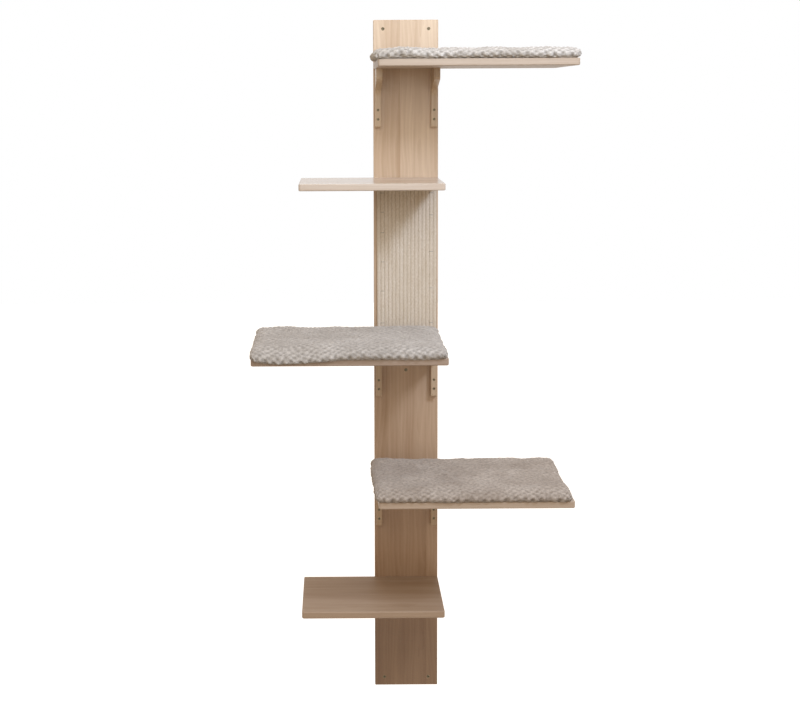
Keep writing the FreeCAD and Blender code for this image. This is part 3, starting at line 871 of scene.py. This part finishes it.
# %% Cushion facts
# For each cushion the box that it fills from left to right and from front to back, how thick its bare
# pad is, and what makes it its own. Flat is how much of the bobbles' height is left where the plush
# lies flat. Waves move its sides outwards: side, place along it, how far, how wide. Folds are creases
# on its top: from where to where, and how high. Droop lets its front edge down, and up where it is
# below zero: place along it, how wide, how far.
CUSHIONS = {
    "top": {"seed": 3, "box": (-0.103, 0.413, -0.379, -0.050), "thick": 17 * MM, "flat": 0.8,
            "droop": ((-0.028, 0.032, -0.005), (0.21, 0.08, -0.002), (-0.104, 0.022, 0.004))},
    "third": {"seed": 8, "box": (-0.414, 0.089, -0.385, -0.050), "thick": 20 * MM, "flat": 0.65,
              "droop": ((-0.31, 0.11, 0.013), (-0.02, 0.10, 0.003))},
    "fourth": {"seed": 15, "box": (-0.104, 0.406, -0.381, -0.052), "thick": 20 * MM, "flat": 0.38,
               "waves": (("right", -0.24, -0.007, 0.05), ("left", -0.17, 0.005, 0.06)),
               "folds": (((0.087, -0.21), (0.135, -0.33), 5.0 * MM),
                         ((0.130, -0.23), (0.181, -0.335), 4.2 * MM)),
               "droop": ((0.15, 0.3, 0.003),)},
}
print(len(CUSHIONS), "cushions described")

# %% [markdown]
# ### The bare pad
#
# Rings of points round a rectangle with round corners are stacked from the underside over the round
# edge to the crown. Even spacing along the sides gives the remesh and the cloth an easy start.

# %% The bare pad
SLEEVE = 1.0 * MM          # how far the bare pad stays inside its finished outline
PAD_CORNER, PAD_CROWN = 18 * MM, 2 * MM
ARC_POINTS, SIDE_POINTS = 8, 24
SIDE_WANDER = 0.9 * MM
SIDE_WAVES = ((1, 34), (1, 71), (0, 23), (0, 57))     # the axis that each runs along, and how quickly


def bell(value, middle, width):
    """1 at the middle, falling off smoothly to both sides."""
    return np.exp(-((value - middle) / width) ** 2)


def pad_outline(half, corner):
    """Points round a rectangle with round corners, the same number for every size."""
    arc = np.radians(np.linspace(0, 90, ARC_POINTS))
    points = []
    for quarter, (side_x, side_y) in enumerate(((1, 1), (-1, 1), (-1, -1), (1, -1))):
        turn = arc + math.radians(90 * quarter)
        points += [(side_x * (half[0] - corner) + corner * math.cos(a),
                    side_y * (half[1] - corner) + corner * math.sin(a)) for a in turn]
    corners = np.array(points)
    rounded = []
    for i, point in enumerate(corners):
        rounded.append(point)
        if i % ARC_POINTS == ARC_POINTS - 1:
            after = corners[(i + 1) % len(corners)]
            rounded += [point + (after - point) * share
                        for share in np.linspace(0, 1, SIDE_POINTS + 2)[1:-1]]
    return np.array(rounded)


def bare_pad(name, facts):
    """The bare pad: round corners, a round edge, a low crown, and sides that wander."""
    left, right, front, back = facts["box"]
    middle = np.array([(left + right) / 2, (front + back) / 2])
    half = np.array([(right - left) / 2 - SLEEVE, (back - front) / 2 - SLEEVE])
    radius = facts["thick"] / 2
    generator = np.random.default_rng(facts["seed"])
    phases = generator.uniform(0, 2 * math.pi, 4)
    rings = []
    for turn in np.radians(np.arange(-90, 91, 15)):
        inset = radius * (1 - math.cos(turn))
        rings.append((pad_outline(half - inset, PAD_CORNER - inset), radius * math.sin(turn)))
    upper = rings[-1][0]
    for share in (0.9, 0.75, 0.5, 0.25):
        rings.append((upper * share, radius + PAD_CROWN * (1 - share ** 2)))
    count = len(rings[0][0])
    points = []
    for flat, height in rings:
        along = flat + middle
        lean = np.abs(flat) / half
        sway = [np.sin(along[:, axis] * quick + phase)
                for (axis, quick), phase in zip(SIDE_WAVES, phases)]
        x = along[:, 0] + (sway[0] + sway[1]) * SIDE_WANDER * np.sign(flat[:, 0]) * lean[:, 0] ** 6
        y = along[:, 1] + (sway[2] + sway[3]) * SIDE_WANDER * lean[:, 1] ** 6
        for side, place, far, wide in facts.get("waves", ()):
            sign = 1 if side == "right" else -1
            x = x + sign * far * bell(y, place, wide) * np.clip(sign * flat[:, 0] / half[0], 0, 1) ** 4
        points.append(np.stack([x, y, np.full(count, height)], axis=-1))
    faces = grid_faces(len(rings), count, closed=True)
    faces += [tuple(reversed(range(count))), tuple(range(count * (len(rings) - 1), count * len(rings)))]
    return new_piece(name, np.concatenate(points), faces, [])


print("bare pad ready")

# %% Modifiers and arrays
def with_modifier(piece, name, kind, **settings):
    """Add a modifier, fill it in and apply it."""
    modifier = piece.modifiers.new(name, kind)
    for word, value in settings.items():
        setattr(modifier, word, value)
    with bpy.context.temp_override(object=piece, active_object=piece):
        bpy.ops.object.modifier_apply(modifier=name)


def points_of(mesh, what="co"):
    """A mesh's points as an array, or with "normal" the normals there."""
    flat = np.empty(len(mesh.vertices) * 3, np.float32)
    mesh.vertices.foreach_get(what, flat)
    return flat.reshape(-1, 3).astype(float)


def move_points(mesh, points):
    """Put a mesh's points where an array says."""
    mesh.vertices.foreach_set("co", points.astype(np.float32).reshape(-1))
    mesh.update()


print("modifiers and arrays ready")

# %% [markdown]
# ### Blown up as cloth
#
# The pad is remeshed into even squares, and the cloth simulation blows it up with gravity off. Its
# skin stretches, bulges between the corners and pulls the sides in, as a filled cover does. Each
# point is held within a cap of where it was, so the cushion keeps its size.

# %% Cloth
VOXEL = 5 * MM
PRESSURE, CAP, CLOTH_STEPS = 4.0, 5 * MM, 20


def inflate(piece):
    """Blow a closed form up as cloth, and hold each point within the cap of where it was."""
    before = points_of(piece.data)
    cloth = piece.modifiers.new("cloth", "CLOTH")
    cloth.settings.quality = 4
    cloth.settings.mass = 0.25
    cloth.settings.tension_stiffness = 12
    cloth.settings.compression_stiffness = 12
    cloth.settings.bending_stiffness = 0.2
    cloth.settings.use_pressure = True
    cloth.settings.uniform_pressure_force = PRESSURE
    cloth.settings.effector_weights.gravity = 0
    scene = bpy.context.scene
    for step in range(1, CLOTH_STEPS + 1):
        scene.frame_set(step)
    graph = bpy.context.evaluated_depsgraph_get()
    after = points_of(piece.evaluated_get(graph).data)
    piece.modifiers.remove(cloth)
    scene.frame_set(1)
    moved = after - before
    far = np.linalg.norm(moved, axis=1, keepdims=True)
    move_points(piece.data, before + moved * np.minimum(1.0, CAP / np.maximum(far, 1e-9)))
    return float(far.max())


print("cloth ready")

# %% [markdown]
# ### Bobbles, creases and the way it lies
#
# Bobbles are two crossed waves, warped so that their rows wander, which push the skin along its
# normals. Where the top was sat on they are nearly flat. Slow waves make the top uneven, creases are
# ridges with a hollow on each side, and the tape lifts the underside a little.

# %% Bobbles and creases
BOBBLE_ACROSS, BOBBLE_ALONG, BOBBLE_HIGH = 22 * MM, 21 * MM, 4.2 * MM
BOBBLE_WARP, ACROSS_WAVES, ALONG_WAVES = 3.4 * MM, (75, 23), (87, 19)
STRIP_THICK, STRIP_MARGIN = 2.4 * MM, 4 * MM
FOLD_HALF, HOLLOW_HALF, HOLLOW_SHARE = 0.012, 0.030, 0.55


def bobbles(points, normal, generator):
    """Height of the plush in staggered rows, 0 in its hollows and 1 on its tops."""
    lean_x = np.clip(normal[:, 0] * 1.5, -1, 1)
    lean_y = np.clip(normal[:, 1] * 1.5, -1, 1)
    down = points[:, 2].max() - points[:, 2]
    shift = generator.uniform(0, 2 * math.pi, 6)
    across = points[:, 0] + lean_x * down
    along = points[:, 1] + lean_y * down
    across = across + BOBBLE_WARP * sum(np.sin(along * quick + phase)
                                        for quick, phase in zip(ACROSS_WAVES, shift[:2]))
    along = along + BOBBLE_WARP * sum(np.sin(across * quick + phase)
                                      for quick, phase in zip(ALONG_WAVES, shift[2:4]))
    wave = (np.cos(2 * math.pi * across / BOBBLE_ACROSS + shift[4])
            * np.cos(2 * math.pi * along / BOBBLE_ALONG + shift[5]))
    return np.abs(0.5 + 0.5 * wave) ** 0.75


def slow_field(points, generator, size):
    """Smooth seeded unevenness over a cushion, about -1 to 1."""
    total = np.zeros(len(points))
    for _ in range(5):
        turn = generator.uniform(0, math.pi)
        phase = generator.uniform(0, 2 * math.pi)
        way = points[:, 0] * math.cos(turn) + points[:, 1] * math.sin(turn)
        total += np.sin(way * 2 * math.pi / size / generator.uniform(0.8, 1.4) + phase)
    return total / 3


def fold_height(points, start, end, high):
    """A crease: a soft ridge along a line, with a hollow on each side."""
    start, end = np.array(start), np.array(end)
    run = end - start
    flat = points[:, :2] - start
    share = np.clip(flat @ run / (run @ run), 0, 1)
    off = np.linalg.norm(flat - share[:, None] * run, axis=1)
    return high * (bell(off, 0, FOLD_HALF) - HOLLOW_SHARE * bell(off, 0, HOLLOW_HALF))


def strip_rise(word, points):
    """How far the tape lifts the cushion's underside off the shelf."""
    flat, rise = points[:, :2], np.zeros(len(points))
    for low, high in solids_of(f"loop_strips_{word}"):
        inside = (flat > np.array(low[:2]) - STRIP_MARGIN) & (flat < np.array(high[:2]) + STRIP_MARGIN)
        rise = np.where(inside.all(axis=1), STRIP_THICK, rise)
    return rise


print("bobbles and creases ready")

# %% One cushion
SEAT_GAP, TOUCH = 3 * MM, 0.4 * MM
FRONT_BAND, FRONT_FADE = 0.075, 0.06
DROOP_STARTS, DROOP_RUN = 0.030, 0.036
SLACK_WAVES = ((0.085, 1.7), (0.035, 0.6))     # how long in metres, how high in millimetres
EDGE_BOBBLES, PATCH, PATCHINESS = 0.6, 0.06, 0.35


def make_cushion(word, facts, material):
    """A cushion from its bare pad to its place on its shelf."""
    shelf_low, shelf_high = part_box(f"shelf_{word}")
    generator = np.random.default_rng(facts["seed"])
    piece = bare_pad(f"plush_cushion_{word}", facts)
    with_modifier(piece, "even", "REMESH", mode="VOXEL", voxel_size=VOXEL, use_smooth_shade=True)
    print(f"  {word}: the cloth swelled by up to {inflate(piece) * 1000:.1f} mm")
    with_modifier(piece, "finer", "SUBSURF", levels=1, render_levels=1)

    points, normal = points_of(piece.data), points_of(piece.data, "normal")
    top_side = np.clip(normal[:, 2] * 2, 0, 1)
    slack = sum(slow_field(points, generator, long) * high * MM for long, high in SLACK_WAVES)
    points[:, 2] += slack * top_side
    for start, end, high in facts.get("folds", ()):
        points[:, 2] += fold_height(points, start, end, high) * top_side
    height = bobbles(points, normal, generator)
    front = np.clip((facts["box"][2] + FRONT_BAND - points[:, 1]) / FRONT_FADE, 0, 1)
    full = facts["flat"] + (1 - facts["flat"]) * np.maximum(1 - top_side, EDGE_BOBBLES * front ** 2)
    patchy = 1 + PATCHINESS * slow_field(points, generator, PATCH)
    points += normal * ((height - 0.5) * BOBBLE_HIGH * full * patchy)[:, None]

    points[:, 2] += shelf_high.z + facts["thick"] / 2 + SEAT_GAP
    over = np.clip((shelf_low.y + DROOP_STARTS - points[:, 1]) / DROOP_RUN, 0, 1.3)
    fall = sum(far * bell(points[:, 0], place, wide) for place, wide, far in facts["droop"])
    points[:, 2] -= fall * over ** 2 * (3 - 2 * np.minimum(over, 1))
    on_shelf = ((points[:, 1] > shelf_low.y - TOUCH) & (points[:, 0] > shelf_low.x)
                & (points[:, 0] < shelf_high.x))
    seat = shelf_high.z + TOUCH + strip_rise(word, points)
    points[:, 2] = np.where(on_shelf, np.maximum(points[:, 2], seat), points[:, 2])
    move_points(piece.data, points)
    # The mark for painted shade in the hollows, weaker where the plush lies flat.
    mark_points(piece, "hollow_shade", np.clip(1 - height * 1.25, 0, 1) * full)
    piece.data.materials.append(material)
    piece.data.shade_smooth()
    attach(piece, f"loose_cushion_{word}")
    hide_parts(f"cushion_{word}")
    return piece


print("cushion maker ready")

# %% Make the cushions
# One fabric on all three cushions, painted paler on the top one and darker on the lower ones, as
# painted light falloff.
plush_of = {
    "top": plush("plush_top", srgb(238, 233, 226), srgb(217, 210, 200), srgb(124, 114, 102), 0.45),
    "third": plush("plush_third", srgb(222, 217, 211), srgb(200, 194, 187), srgb(128, 120, 111), 0.5),
    "fourth": plush("plush_fourth", srgb(212, 202, 192), srgb(184, 172, 161), srgb(124, 110, 97), 0.55),
}
for word, facts in CUSHIONS.items():
    cushion = make_cushion(word, facts, plush_of[word])
    size = np.round(np.ptp(points_of(cushion.data), axis=0) / MM)
    print(cushion.name, len(cushion.data.vertices), "points,", *size, "mm")

# %% [markdown]
# ## Finish
#
# The construction's own box is printed.

# %% Finish
print("construction", [round(v, 4) for corner in construction_box for v in corner])
